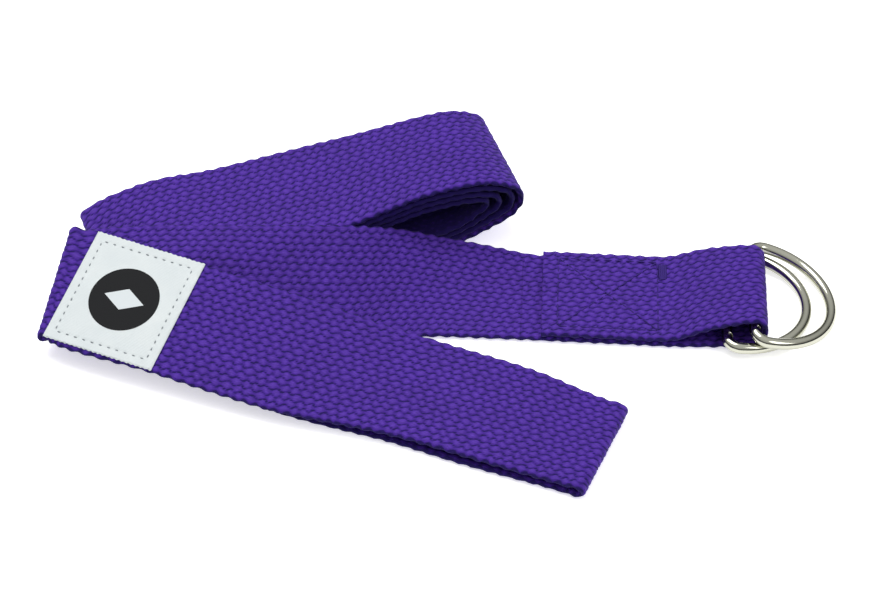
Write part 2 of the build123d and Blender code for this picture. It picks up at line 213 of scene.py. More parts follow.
class NodeKit:
    """Small helper that wires one procedural material."""

    def __init__(self, name: str) -> None:
        self.material = bpy.data.materials.new(name)
        self.material.use_nodes = True
        self.tree = self.material.node_tree
        self.shader = self.tree.nodes["Principled BSDF"]

    def add(self, kind: str, **settings: object) -> bpy.types.Node:
        """Adds a node and sets its properties.

        Args:
            kind: the node's type name, without the ShaderNode prefix.
            settings: properties to set on the node.

        Returns:
            The new node.
        """
        node = self.tree.nodes.new("ShaderNode" + kind)
        for key, value in settings.items():
            setattr(node, key, value)
        return node

    def link(self, source: object, target: object) -> None:
        """Joins an output socket to an input socket."""
        self.tree.links.new(source, target)

    def ramp(self, source: object, stops: Iterable[Tuple[float, Tuple[float, ...]]]) -> object:
        """Maps a value to colours.

        Args:
            source: the output that drives the ramp.
            stops: position and colour of each stop.

        Returns:
            The ramp's colour output.
        """
        node = self.add("ValToRGB")
        elements = node.color_ramp.elements
        stops = list(stops)
        while len(elements) < len(stops):
            elements.new(0.5)
        for element, (position, colour) in zip(elements, stops):
            element.position = position
            element.color = colour
        self.link(source, node.inputs["Fac"])
        return node.outputs["Color"]

    def noise(self, vector: object, scale: float, detail: float = 2.0) -> object:
        """Adds noise on the given coordinates and returns its value output."""
        node = self.add("TexNoise")
        node.inputs["Scale"].default_value = scale
        node.inputs["Detail"].default_value = detail
        self.link(vector, node.inputs["Vector"])
        return node.outputs["Fac"]

    def bump(self, height: object, distance: float, strength: float = 1.0) -> None:
        """Feeds a height into the shader's normal."""
        node = self.add("Bump")
        node.inputs["Strength"].default_value = strength
        node.inputs["Distance"].default_value = distance
        self.link(height, node.inputs["Height"])
        self.link(node.outputs["Normal"], self.shader.inputs["Normal"])

    def mix(self, factor: object, first: object, second: object, blend: str = "MIX") -> object:
        """Mixes two colours, either of which may be a socket or a colour."""
        node = self.add("Mix", data_type="RGBA", blend_type=blend)
        for value, socket in ((factor, node.inputs[0]), (first, node.inputs[6]),
                              (second, node.inputs[7])):
            if isinstance(value, (int, float, tuple)):
                socket.default_value = value
            else:
                self.link(value, socket)
        return node.outputs[2]


@dataclass(frozen=True)
class WovenFinish:
    """Coarse polypropylene-cotton webbing, coloured by the relief of its weave: painted shade in
    the gaps between its floats and a painted highlight on their crowns.
    """

    # painted shade: the colour of the gaps between the floats
    gap: Tuple[float, ...]
    body: Tuple[float, ...]
    # painted highlight: the colour of the floats' crowns
    crown: Tuple[float, ...]
    roughness: float = 0.82
    sheen: float = 0.03

    def build(self, name: str) -> bpy.types.Material:
        """Builds the material; the mesh carries attributes "weave" and "flat". The weave
        attribute holds the weave's height, darkened further as painted shade on hidden stretches
        and woven edges.
        """
        kit = NodeKit(name)
        weave = kit.add("Attribute", attribute_name="weave").outputs["Fac"]
        flat = kit.add("Attribute", attribute_name="flat").outputs["Vector"]
        # Painted shade in the gaps, the yarn's own colour in between and a painted highlight on
        # the crowns.
        base = kit.ramp(weave, ((0.0, self.gap), (0.3, self.gap), (0.56, self.body),
                                (1.0, self.crown)))
        stretch = kit.add("Mapping")
        stretch.inputs["Scale"].default_value = (0.45, 2.2, 1.0)
        stretch.inputs["Rotation"].default_value = (0.0, 0.0, 0.35)
        kit.link(flat, stretch.inputs["Vector"])
        fibre = kit.noise(stretch.outputs["Vector"], 1.6, 3.0)
        streak = kit.ramp(fibre, ((0.3, (0.74, 0.74, 0.74, 1)), (0.7, (1.26, 1.26, 1.26, 1))))
        cloudy = kit.ramp(kit.noise(flat, 0.09, 2.0),
                          ((0.3, (0.93, 0.93, 0.93, 1)), (0.7, (1.06, 1.06, 1.06, 1))))
        tinted = kit.mix(1.0, base, streak, "MULTIPLY")
        kit.link(kit.mix(1.0, tinted, cloudy, "MULTIPLY"), kit.shader.inputs["Base Color"])
        kit.shader.inputs["Roughness"].default_value = self.roughness
        kit.shader.inputs["Sheen Weight"].default_value = self.sheen
        kit.shader.inputs["Specular IOR Level"].default_value = 0.25
        kit.bump(fibre, 0.00022, 0.7)
        return kit.material


@dataclass(frozen=True)
class TwillFinish:
    """Smooth label cloth with a fine diagonal twill."""

    light: Tuple[float, ...]
    dark: Tuple[float, ...]

    def build(self, name: str) -> bpy.types.Material:
        """Builds the material on the piece's "flat" attribute, in millimetres."""
        kit = NodeKit(name)
        flat = kit.add("Attribute", attribute_name="flat").outputs["Vector"]
        wave = kit.add("TexWave", wave_type="BANDS", bands_direction="DIAGONAL")
        wave.inputs["Scale"].default_value = 1.3
        wave.inputs["Distortion"].default_value = 0.6
        wave.inputs["Detail"].default_value = 1.0
        kit.link(flat, wave.inputs["Vector"])
        base = kit.ramp(wave.outputs["Fac"], ((0.0, self.dark), (0.6, self.light)))
        soft = kit.ramp(kit.noise(flat, 0.12),
                        ((0.35, (0.94, 0.95, 0.96, 1)), (0.7, (1, 1, 1, 1))))
        kit.link(kit.mix(1.0, base, soft, "MULTIPLY"), kit.shader.inputs["Base Color"])
        kit.shader.inputs["Roughness"].default_value = 0.55
        kit.bump(wave.outputs["Fac"], 0.00008, 0.6)
        return kit.material


@dataclass(frozen=True)
class PlatedFinish:
    """Polished nickel plate with faint scuffs."""

    colour: Tuple[float, ...]
    roughness: float = 0.09

    def build(self, name: str) -> bpy.types.Material:
        """Builds the material on Object coordinates."""
        kit = NodeKit(name)
        place = kit.add("TexCoord").outputs["Object"]
        scuff = kit.noise(place, 900.0, 4.0)
        kit.shader.inputs["Base Color"].default_value = self.colour
        kit.shader.inputs["Metallic"].default_value = 1.0
        rough = kit.add("MapRange")
        rough.inputs["To Min"].default_value = self.roughness * 0.6
        rough.inputs["To Max"].default_value = self.roughness * 1.9
        kit.link(scuff, rough.inputs["Value"])
        kit.link(rough.outputs["Result"], kit.shader.inputs["Roughness"])
        kit.bump(kit.noise(place, 260.0, 2.0), 0.00003, 0.35)
        return kit.material


@dataclass(frozen=True)
class ThreadFinish:
    """Twisted sewing thread or printed ink."""

    colour: Tuple[float, ...]
    roughness: float = 0.6

    def build(self, name: str) -> bpy.types.Material:
        """Builds the material on Object coordinates."""
        kit = NodeKit(name)
        place = kit.add("TexCoord").outputs["Object"]
        twist = kit.noise(place, 2600.0, 2.0)
        tint = kit.ramp(twist, ((0.3, (0.72, 0.72, 0.72, 1)), (0.7, (1.15, 1.15, 1.15, 1))))
        kit.link(kit.mix(1.0, self.colour, tint, "MULTIPLY"), kit.shader.inputs["Base Color"])
        kit.shader.inputs["Roughness"].default_value = self.roughness
        kit.bump(twist, 0.00008, 0.5)
        return kit.material


def grid_object(name: str, points: np.ndarray, wrap: bool, material: bpy.types.Material,
                attributes: Sequence[Tuple[str, np.ndarray]] = (),
                close_rows: bool = False) -> bpy.types.Object:
    """Shapes a bmesh grid onto an array of points and closes it into a solid skin.

    Args:
        name: name of the new object.
        points: rows x columns x 3, in millimetres.
        wrap: whether each row's first and last points coincide and are welded.
        material: material of the piece.
        attributes: names and per-point values, scalar or vector.
        close_rows: whether the last row meets the first one.

    Returns:
        The new object, in metres.
    """
    rows, columns = points.shape[:2]
    mesh = bpy.data.meshes.new(name)
    sheet = bmesh.new()
    bmesh.ops.create_grid(sheet, x_segments=columns - 1, y_segments=rows - 1, size=1.0)
    sheet.to_mesh(mesh)
    sheet.free()
    mesh.vertices.foreach_set("co", (points * MM).astype(np.float32).ravel())
    for label, values in attributes:
        kind = "FLOAT_VECTOR" if values.ndim == 3 else "FLOAT"
        layer = mesh.attributes.new(label, kind, "POINT")
        layer.data.foreach_set("vector" if values.ndim == 3 else "value",
                               values.astype(np.float32).ravel())
    skin = bmesh.new()
    skin.from_mesh(mesh)
    if wrap or close_rows:
        bmesh.ops.remove_doubles(skin, verts=skin.verts, dist=2e-6)
    edges = [e for e in skin.edges if e.is_boundary]
    if edges:
        bmesh.ops.holes_fill(skin, edges=edges, sides=0)
    bmesh.ops.recalc_face_normals(skin, faces=skin.faces)
    for face in skin.faces:
        face.smooth = len(face.verts) <= 4
    skin.to_mesh(mesh)
    skin.free()
    mesh.materials.append(material)
    piece = bpy.data.objects.new(name, mesh)
    bpy.context.scene.collection.objects.link(piece)
    return piece


def cubic(keys: np.ndarray, stations: np.ndarray, at: np.ndarray) -> np.ndarray:
    """Interpolates rows smoothly, without overshoot where the spacing changes.

    Args:
        keys: stations x ... values.
        stations: rising positions of the keys.
        at: positions to evaluate.

    Returns:
        Interpolated values, one per position.
    """
    gaps = np.diff(stations)
    shape = (-1,) + (1,) * (keys.ndim - 1)
    slopes = np.diff(keys, axis=0) / gaps.reshape(shape)
    tangents = np.empty_like(keys)
    tangents[0], tangents[-1] = slopes[0], slopes[-1]
    before, after = gaps[:-1].reshape(shape), gaps[1:].reshape(shape)
    tangents[1:-1] = (slopes[:-1] * after + slopes[1:] * before) / (before + after)
    index = np.clip(np.searchsorted(stations, at, side="right") - 1, 0, len(gaps) - 1)
    gap = gaps[index].reshape(shape)
    t = ((at - stations[index]) / gaps[index]).reshape(shape)
    a, b = keys[index], keys[index + 1]
    ta, tb = tangents[index] * gap, tangents[index + 1] * gap
    return ((2 * t**3 - 3 * t**2 + 1) * a + (t**3 - 2 * t**2 + t) * ta
            + (3 * t**2 - 2 * t**3) * b + (t**3 - t**2) * tb)


def linked(name: str, shape: bmesh.types.BMesh,
           material: bpy.types.Material) -> bpy.types.Object:
    """Turns a finished bmesh into an object of the scene and frees it.

    Args:
        name: name of the mesh and the object.
        shape: the geometry, in metres.
        material: its only material.

    Returns:
        The new object.
    """
    mesh = bpy.data.meshes.new(name)
    shape.to_mesh(mesh)
    shape.free()
    mesh.materials.append(material)
    piece = bpy.data.objects.new(name, mesh)
    bpy.context.scene.collection.objects.link(piece)
    return piece


@dataclass
class Layout:
    """The strap's middle surface, as key rows from the tail's cut end to the free end."""

    columns: np.ndarray
    rows: List[np.ndarray] = field(default_factory=list)
    marks: dict = field(default_factory=dict)

    def mark(self, name: str) -> None:
        """Remembers the next key row as the start of a stretch."""
        self.marks[name] = len(self.rows)

    def row(self, *points: Sequence[float]) -> None:
        """Adds a row that runs through two or three points, front to rear."""
        corners = np.array(points, float)
        legs = np.linalg.norm(np.diff(corners, axis=0), axis=1)
        reach = np.concatenate(([0.0], np.cumsum(legs)))
        share = (self.columns / HALF_MM + 1) / 2 * reach[-1]
        line = np.stack([np.interp(share, reach, corners[:, k]) for k in range(3)], axis=1)
        if len(points) > 2:
            line = self.soften(line)
        self.rows.append(line)

    def soften(self, line: np.ndarray, passes: int = 60) -> np.ndarray:
        """Rounds the bend of a row while its selvages stay where they are."""
        even = np.linspace(-HALF_MM, HALF_MM, 77)
        dense = np.stack([np.interp(even, self.columns, line[:, k]) for k in range(3)], axis=1)
        for _ in range(passes):
            dense[1:-1] = (dense[:-2] + 2 * dense[1:-1] + dense[2:]) / 4
        return np.stack([np.interp(self.columns, even, dense[:, k]) for k in range(3)], axis=1)

    def fold(self, crease: Sequence[Sequence[float]], radius: float, outward: Sequence[float],
             start: float, steps: int = 9) -> None:
        """Adds the rows of a half turn about a crease.

        Args:
            crease: front and rear end of the fold's axis.
            radius: of the middle surface.
            outward: horizontal direction in which the fold bulges.
            start: -1 where the run comes in below the crease, 1 where it comes in above.
            steps: number of rows.
        """
        out = np.array(outward, float) / np.linalg.norm(outward)
        for step in range(steps):
            angle = math.pi * step / (steps - 1)
            shift = out * math.sin(angle) * radius
            shift = shift + np.array([0, 0, start * math.cos(angle) * radius])
            self.row(*(np.array(p, float) + shift for p in crease))

    def sewn_end(self) -> None:
        """Tail, loop round the rings' bars and the sewn part of the middle arm."""
        bar_x = UPPER_BAR[0]
        tail = LOOP_LOW_MM + PITCH_MM
        profile = [(x, tail + rise) for x, rise in TAIL_RISE]
        for degrees in range(90, -1, -15):
            turn = math.radians(degrees)
            profile.append((bar_x + LOOP_RADIUS_MM * math.cos(turn),
                            LOOP_HIGH_MM - LOOP_RADIUS_MM * (1 - math.sin(turn))))
        for degrees in range(0, -91, -15):
            turn = math.radians(degrees)
            profile.append((bar_x + LOOP_RADIUS_MM * math.cos(turn),
                            LOOP_LOW_MM + LOOP_RADIUS_MM * (1 + math.sin(turn))))
        profile += [(x, LOOP_LOW_MM) for x in BED_STATIONS]
        for x, z in profile:
            half = np.interp(x, TAPER_MM, (HALF_MM, LOOP_TIP_HALF_MM))
            self.row((x, -half, z), (x, half, z))

    def roll_spiral(self) -> List[Tuple[float, float]]:
        """Middle line of the roll as (u, height), from the outermost run to the free end."""
        spiral: List[Tuple[float, float]] = []
        turns = len(ROLL_END_SHARE)
        for turn in range(turns):
            for index, (outer, inner) in enumerate(zip(ROLL_OUTER, ROLL_INNER)):
                share = turn / (turns - 1)
                if index in ROLL_END_PAIRS:
                    share = ROLL_END_SHARE[turn]
                spiral.append(tuple(o + (i - o) * share for o, i in zip(outer, inner)))
            if turn < len(ROLL_LEFT_ENDS):
                spiral += ROLL_LEFT_ENDS[turn]
        spiral[-1] = ROLL_FREE_END
        return spiral

    def roll(self) -> None:
        """Rows of the roll; its rear side stands a little taller than its front side."""
        turn = math.radians(ROLL_HEADING)
        along = np.array([math.cos(turn), math.sin(turn), 0])
        across = np.array([-math.sin(turn), math.cos(turn), 0])
        origin = np.array([*ROLL_FRONT, 0.0])
        places, rises = zip(*ROLL_REAR_RISE)
        for number, (u, z) in enumerate(self.roll_spiral()):
            if number == len(ROLL_OUTER) + ROLL_TURNED:
                self.mark("roll_inner")
            rear_z = z * (1 + float(np.interp(u, places, rises)))
            front = origin + along * u + np.array([0, 0, z])
            rear = origin + along * u + across * WIDTH_MM + np.array([0, 0, rear_z])
            self.row(front, rear)

    def lay_out(self) -> None:
        """Adds every row of the strap in order."""
        self.mark("sewn_end")
        self.sewn_end()
        self.mark("middle_arm")
        for stations in MIDDLE_ARM:
            self.row(*stations)
        self.mark("lower_arm")
        self.fold(LEFT_CREASE, PITCH_MM / 2, (-1.0, 0.167, 0.0), -1)
        for stations in LOWER_ARM:
            self.row(*stations)
        self.fold(RIGHT_CREASE, RIGHT_CREASE[0][2] - HALF_THICK_MM, (0.944, -0.33, 0.0), 1)
        self.mark("floor_run")
        for front, rear in FLOOR_RUN:
            self.row((*front, HALF_THICK_MM), (*rear, HALF_THICK_MM))
        self.fold(UNDER_CREASE, PITCH_MM / 2, (-1.0, 0.02, 0.0), -1)
        self.mark("roll_outer")
        self.roll()


@dataclass
class Stretch:
    """One meshed stretch of the webbing."""

    name: str
    node_names: Tuple[str, ...]
    step: float
    held: str
    rests_on: Tuple[str, ...]
    light: float = 1.0  # under 1 where turns of the roll shade each other


STRETCHES = (
    Stretch("webbing_sewn_end", ("webbing_ring_loop",), FINE_STEP_MM, "folded", ("floor",)),
    Stretch("webbing_middle", ("webbing_middle_arm",), FINE_STEP_MM, "draped", ("webbing_roll",)),
    Stretch("webbing_lower", ("webbing_left_fold", "webbing_lower_arm_top",
                              "webbing_right_fold"), FINE_STEP_MM, "folded",
            ("webbing_middle_arm",)),
    Stretch("webbing_floor", ("webbing_lower_arm_bottom", "webbing_under_fold"),
            COARSE_STEP_MM, "folded", ("floor",), 0.75),
    Stretch("webbing_roll_outer", (), FINE_STEP_MM, "folded", ("webbing_lower_arm_bottom",)),
    Stretch("webbing_roll_inner", ("webbing_roll",), COARSE_STEP_MM, "folded",
            ("webbing_roll_outer",), 0.4),
)
MARKS = ("sewn_end", "middle_arm", "lower_arm", "floor_run", "roll_outer", "roll_inner")


class Webbing:
    """The whole length of webbing, meshed stretch by stretch."""

    def __init__(self, material: bpy.types.Material) -> None:
        self.material = material
        edge = np.array(EDGE_COLUMNS_MM)
        inner = np.linspace(-HALF_MM + INNER_FROM_MM, HALF_MM - INNER_FROM_MM, INNER_COLUMNS)
        self.columns = np.concatenate((edge - HALF_MM, inner, HALF_MM - edge[::-1]))
        self.layout = Layout(self.columns)
        self.layout.lay_out()
        keys = np.array(self.layout.rows)
        middle = keys[:, len(self.columns) // 2]
        gaps = np.maximum(np.linalg.norm(np.diff(middle, axis=0), axis=1), 1e-3)
        self.keys = keys
        self.stations = np.concatenate(([0.0], np.cumsum(gaps)))

    @property
    def length_mm(self) -> float:
        """Length of the strap along its middle, from cut end to free end."""
        return float(self.stations[-1])

    def surface(self, at: np.ndarray) -> Tuple[np.ndarray, np.ndarray]:
        """Middle surface and its unit normal at positions along the strap."""
        points = cubic(self.keys, self.stations, at)
        last = self.stations[-1]
        ahead = cubic(self.keys, self.stations, np.minimum(at + TANGENT_STEP_MM, last))
        behind = cubic(self.keys, self.stations, np.maximum(at - TANGENT_STEP_MM, 0.0))
        across = np.gradient(points, self.columns, axis=1)
        normals = np.cross(ahead - behind, across)
        normals /= np.maximum(np.linalg.norm(normals, axis=2, keepdims=True), 1e-9)
        return points, normals

    @staticmethod
    def weave(s: np.ndarray, w: np.ndarray, side: float) -> np.ndarray:
        """Height of the weave, 0 in a gap and 1 on the crown of a float.

        Args:
            s: position along the strap.
            w: position across it, from the middle.
            side: 1 for one face and -1 for the other, whose floats are offset.

        Returns:
            Heights, in the shape of s and w broadcast together.
        """
        rib = (w + HALF_MM) / (WIDTH_MM / ROWS_ACROSS)
        uneven = sum(size * np.sin(rib * per_rib + s * per_mm)
                     for size, per_rib, per_mm in UNEVEN_WAVES)
        turn = 2 * math.pi * s / GRAIN_MM + uneven + math.pi / 2 * (1 - side)
        rib = rib - SWELL * np.cos(math.pi * rib) * np.sin(turn)
        number = np.floor(np.clip(rib, 0, ROWS_ACROSS - 1e-6))
        b = rib - number - 0.5
        swell = np.sin(turn) * np.where(np.mod(number, 2) == 0, -1.0, 1.0)
        height = np.clip(1 - np.abs(2 * b) ** FLOAT_POWER, 0, 1) ** CROWN_POWER
        return height * (1 - SWELL_SHADE + SWELL_SHADE * swell)

    def stretch(self, plan: Stretch, start: float, end: float) -> bpy.types.Object:
        """Meshes the strap between two positions along it.

        Args:
            plan: what to name the stretch and how finely to mesh it.
            start, end: positions along the strap, in millimetres.

        Returns:
            The finished piece.
        """
        count = max(12, int(round((end - start) / plan.step)))
        at = np.linspace(start, end, count + 1)
        points, normals = self.surface(at)
        s, w = at[:, None], self.columns[None, :]
        rim = np.clip((HALF_MM - np.abs(w)) / SELVAGE_MM, 0, 1)
        roundness = np.sqrt(np.maximum(1 - (1 - rim) ** 2, 0))
        across = np.gradient(points, self.columns, axis=1)
        notch = 0.5 - 0.5 * np.cos(2 * math.pi * (s / SCALLOP_PITCH_MM + 0.25 * np.sign(w)))
        pull = np.sign(w) * (SCALLOP_OUT_MM - SCALLOP_MM * notch)
        pull = pull * np.clip((np.abs(w) - SCALLOP_FROM_MM) / SCALLOP_OVER_MM, 0, 1)
        points = points + across * pull[..., None]
        # Painted shade: the weave's colour darkens towards the gap colour along stretches hidden
        # under other turns (light under 1) and on the rounded woven edge (RIM_SHADE).
        painted_shade_ramp = np.clip((s - start - SHADE_FROM_MM) / SHADE_OVER_MM, 0, 1)
        light = 1 - (1 - plan.light) * painted_shade_ramp
        faces, shaded_heights = [], []
        for side in (1.0, -1.0):
            height = self.weave(s, w, side)
            depth = (HALF_THICK_MM - RELIEF_MM * (1 - height)) * roundness
            faces.append(points + normals * (side * depth)[..., None])
            shaded_heights.append(height * light * (1 - RIM_SHADE * (1 - rim)))
        flat = np.stack(np.broadcast_arrays(s, w, np.zeros_like(s * w)), axis=2)
        skin = np.concatenate((faces[0], faces[1][:, ::-1]), axis=1)
        weave = np.concatenate((shaded_heights[0], shaded_heights[1][:, ::-1]), axis=1)
        flat = np.concatenate((flat, flat[:, ::-1]), axis=1)
        skin, weave, flat = (np.concatenate((a, a[:, :1]), axis=1)
                             for a in (skin, weave, flat))
        piece = grid_object(plan.name, skin, True, self.material,
                            (("weave", weave), ("flat", flat)))
        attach(piece, Body.STRAP.value)
        if plan.node_names:
            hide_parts(*plan.node_names)
        return piece

    def build(self) -> None:
        """Meshes every stretch and logs where each one runs."""
        starts = [self.stations[self.layout.marks[name]] for name in MARKS]
        ends = starts[1:] + [self.stations[-1]]
        for plan, start, end in zip(STRETCHES, starts, ends):
            piece = self.stretch(plan, start, end)
            log.info("%s: %.0f to %.0f mm", plan.name, start, end)
        log.info("strap length %.0f mm", self.length_mm)


class Rings:
    """The two D-rings, each swept from round wire about its own bar."""

    def __init__(self, material: bpy.types.Material) -> None:
        self.material = material

    @staticmethod
    def outline() -> np.ndarray:
        """Wire's axis in the ring's plane: bar, corners and bow, in millimetres."""
        bow = RING_DEPTH_MM - RING_HALF_MM
        bar = math.sqrt((RING_HALF_MM - CORNER_MM) ** 2 - (CORNER_MM - bow) ** 2)
        lean = math.atan2(bar, CORNER_MM - bow)
        points = [(0.0, y) for y in np.linspace(-bar, bar, 25)[:-1]]
        for angle in np.linspace(math.pi, lean, 15)[:-1]:
            points.append((CORNER_MM + CORNER_MM * math.cos(angle),
                           bar + CORNER_MM * math.sin(angle)))
        for angle in np.linspace(lean, -lean, 90):
            points.append((bow + RING_HALF_MM * math.cos(angle),
                           RING_HALF_MM * math.sin(angle)))
        for angle in np.linspace(-lean, -math.pi, 15)[1:]:
            points.append((CORNER_MM + CORNER_MM * math.cos(angle),
                           -bar + CORNER_MM * math.sin(angle)))
        return np.array(points)

    def ring(self, name: str, node: str, body: Body, bar: Tuple[float, float]) -> None:
        """Builds one ring, its tip on the floor.

        Args:
            name: name of the piece.
            node: CAD node that it stands for.
            body: body that it rides on.
            bar: x and height of its bar, in millimetres.
        """
        axis = self.outline()
        drop = math.asin((bar[1] - WIRE_MM / 2) / RING_DEPTH_MM)
        forward = np.array([math.cos(drop), 0, -math.sin(drop)])
        upward = np.array([math.sin(drop), 0, math.cos(drop)])
        sideways = np.array([0.0, 1.0, 0.0])
        centre = np.array([bar[0], 0, bar[1]])
        count = len(axis)
        points = np.empty((count + 1, 25, 3))
        for index in range(count + 1):
            here = axis[index % count]
            chord = axis[(index + 1) % count] - axis[(index - 1) % count]
            chord /= np.linalg.norm(chord)
            outer = forward * chord[1] - sideways * chord[0]
            place = centre + forward * here[0] + sideways * here[1]
            for spoke in range(25):
                turn = 2 * math.pi * spoke / 24
                points[index, spoke] = place + WIRE_MM / 2 * (
                    outer * math.cos(turn) + upward * math.sin(turn))
        piece = grid_object(name, points, True, self.material, close_rows=True)
        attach(piece, body.value)
        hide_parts(node)

    def build(self) -> None:
        """Builds both rings."""
        self.ring("ring_upper", "upper_d_ring", Body.UPPER, UPPER_BAR)
        self.ring("ring_lower", "lower_d_ring", Body.LOWER, LOWER_BAR)


class Thread:
    """Rows of single stitches, each a small rounded bead of thread."""

    def __init__(self, name: str, material: bpy.types.Material, slot: Slot) -> None:
        self.name, self.material, self.slot = name, material, slot
        self.beads = bmesh.new()

    def stitch(self, at: Vector, along: Vector, up: Vector, length: float,
               thick: float) -> None:
        """Adds one stitch.

        Args:
            at: its middle, in millimetres.
            along: its direction.
            up: the cloth's normal.
            length, thick: its size, in millimetres.
        """
        side = up.cross(along).normalized()
        turn = Matrix((along.normalized(), side, up)).transposed().to_4x4()
        place = Matrix.Translation(at * MM) @ turn
        scale = Matrix.Diagonal((length / 2 * MM, thick / 2 * MM, thick / 2 * MM, 1.0))
        bmesh.ops.create_uvsphere(self.beads, u_segments=8, v_segments=6, radius=1.0,
                                  matrix=place @ scale @ Matrix.Rotation(math.pi / 2, 4, "Y"))

    def seam(self, start: Vector, end: Vector, up: Vector, pitch: float, length: float,
             thick: float) -> None:
        """Adds a straight seam of stitches between two points."""
        run = end - start
        count = max(1, round(run.length / pitch))
        for k in range(count):
            self.stitch(start + run * ((k + 0.5) / count), run, up, length, thick)

    def finish(self, *nodes: str) -> bpy.types.Object:
        """Turns the stitches into one piece that stands for the named CAD nodes."""
        for face in self.beads.faces:
            face.smooth = True
        piece = linked(self.name, self.beads, self.material)
        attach(piece, Body.STRAP.value)
        if nodes:
            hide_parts(*nodes)
        return piece


@dataclass
class Label:
    """Sewn-on cloth label with a plain geometric mark."""

    cloth: bpy.types.Material
    thread: bpy.types.Material
    ink: bpy.types.Material
    length: float = 35.2
    thick: float = 0.5
    inset: float = 2.7
    pitch: float = 2.6  # of the seam's stitches
    stitch: float = 1.0
    stitch_thick: float = 0.42
    mark_radius: float = 10.6
    lozenge: Tuple[float, float] = (6.4, 3.7)  # half its length and half its width

    def __post_init__(self) -> None:
        near, far = LOWER_ARM[1], LOWER_ARM[2]
        corners = [np.array(p, float) for p in (*near, *far)]
        self.centre = sum(corners) / 4
        self.along = self.unit((corners[3] + corners[2]) - (corners[1] + corners[0]))
        self.across = self.unit((corners[1] + corners[3]) - (corners[0] + corners[2]))
        self.across = self.unit(self.across - self.along * float(self.across @ self.along))
        self.normal = np.cross(self.along, self.across)
        self.rise = HALF_THICK_MM + 0.15

    @staticmethod
    def unit(v: np.ndarray) -> np.ndarray:
        """Scales a vector to length one."""
        return v / np.linalg.norm(v)

    def point(self, x: float, y: float, z: float) -> np.ndarray:
        """Point on the label: x along the strap, y across it, z above the webbing."""
        return self.centre + self.along * x + self.across * y + self.normal * (self.rise + z)

    def cloth_plate(self) -> bpy.types.Object:
        """The label's cloth, its edges turned down and slightly dimpled by the seam."""
        half = self.length / 2
        xs = np.concatenate(([-half - 0.05], np.linspace(-half, half, 121), [half + 0.05]))
        ys = np.concatenate(([-HALF_MM], np.linspace(-HALF_MM + 0.05, HALF_MM - 0.05, 121),
                             [HALF_MM]))
        x, y = np.meshgrid(xs, ys, indexing="ij")
        rim_x, rim_y = half - np.abs(x), HALF_MM - np.abs(y)
        rim = np.minimum(rim_x, rim_y)
        seam = np.exp(-((rim - self.inset) / 0.45) ** 2)
        along = np.where(rim_x < rim_y, y, x)
        puckered = 0.16 * seam * (0.6 + 0.4 * np.cos(2 * math.pi * along / self.pitch))
        swell = 0.10 * np.cos(along * 1.1) * np.clip(1 - rim / 2.4, 0, 1)
        top = self.thick - puckered + swell
        top = np.where(rim < 0.02, self.thick * 0.45, top)
        ragged = 0.12 * np.sin(along * 4.1) * (rim < 0.3)
        base = (self.centre + x[..., None] * self.along
                + (y * (1 + ragged / HALF_MM))[..., None] * self.across)
        upper = base + (self.rise + top)[..., None] * self.normal
        lower = base + np.full_like(x, self.rise)[..., None] * self.normal
        flat = np.stack((x, y, np.zeros_like(x)), axis=2)
        skin = np.concatenate((upper, lower[:, ::-1], upper[:, :1]), axis=1)
        flat = np.concatenate((flat, flat[:, ::-1], flat[:, :1]), axis=1)
        piece = grid_object("label_cloth", skin, True, self.cloth, (("flat", flat),))
        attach(piece, Body.STRAP.value)
        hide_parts("label")
        return piece

    def printed(self, name: str, outline: Sequence[Tuple[float, float]], lift: float,
                material: bpy.types.Material) -> None:
        """Adds a thin printed shape.

        Args:
            name: name of the piece.
            outline: its corners on the label, in millimetres.
            lift: height of its upper face above the cloth.
            material: its ink.
        """
        shape = bmesh.new()
        ring = bmesh.ops.create_circle(shape, cap_ends=True, radius=1.0,
                                       segments=len(outline))["verts"]
        for corner, (x, y) in zip(ring, outline):
            corner.co = self.point(x, y, self.thick + lift - PRINT_MM) * MM
        raised = bmesh.ops.extrude_face_region(shape, geom=shape.faces[:])
        lifted = [v for v in raised["geom"] if isinstance(v, bmesh.types.BMVert)]
        bmesh.ops.translate(shape, verts=lifted, vec=Vector(self.normal) * PRINT_MM * MM)
        bmesh.ops.recalc_face_normals(shape, faces=shape.faces)
        piece = linked(name, shape, material)
        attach(piece, Body.STRAP.value)

    def build(self) -> None:
        """Builds cloth, mark and stitching."""
        self.cloth_plate()
        disc = [(self.mark_radius * math.cos(t), self.mark_radius * math.sin(t))
                for t in np.linspace(0, 2 * math.pi, 96, endpoint=False)]
        self.printed("label_disc", disc, 0.05, self.ink)
        long, wide = self.lozenge
        lozenge = [(long, 0), (0, wide), (-long, 0), (0, -wide)]
        self.printed("label_lozenge", lozenge, 0.09, self.cloth)
        thread = Thread("label_stitches", self.thread, Slot.LABEL_THREAD)
        x, y = self.length / 2 - self.inset, HALF_MM - self.inset
        corners = [(-x, -y), (x, -y), (x, y), (-x, y)]
        for (ax, ay), (bx, by) in zip(corners, corners[1:] + corners[:1]):
            thread.seam(Vector(self.point(ax, ay, self.thick - 0.05)),
                        Vector(self.point(bx, by, self.thick - 0.05)),
                        Vector(self.normal), self.pitch, self.stitch, self.stitch_thick)
        thread.finish("label_stitching")


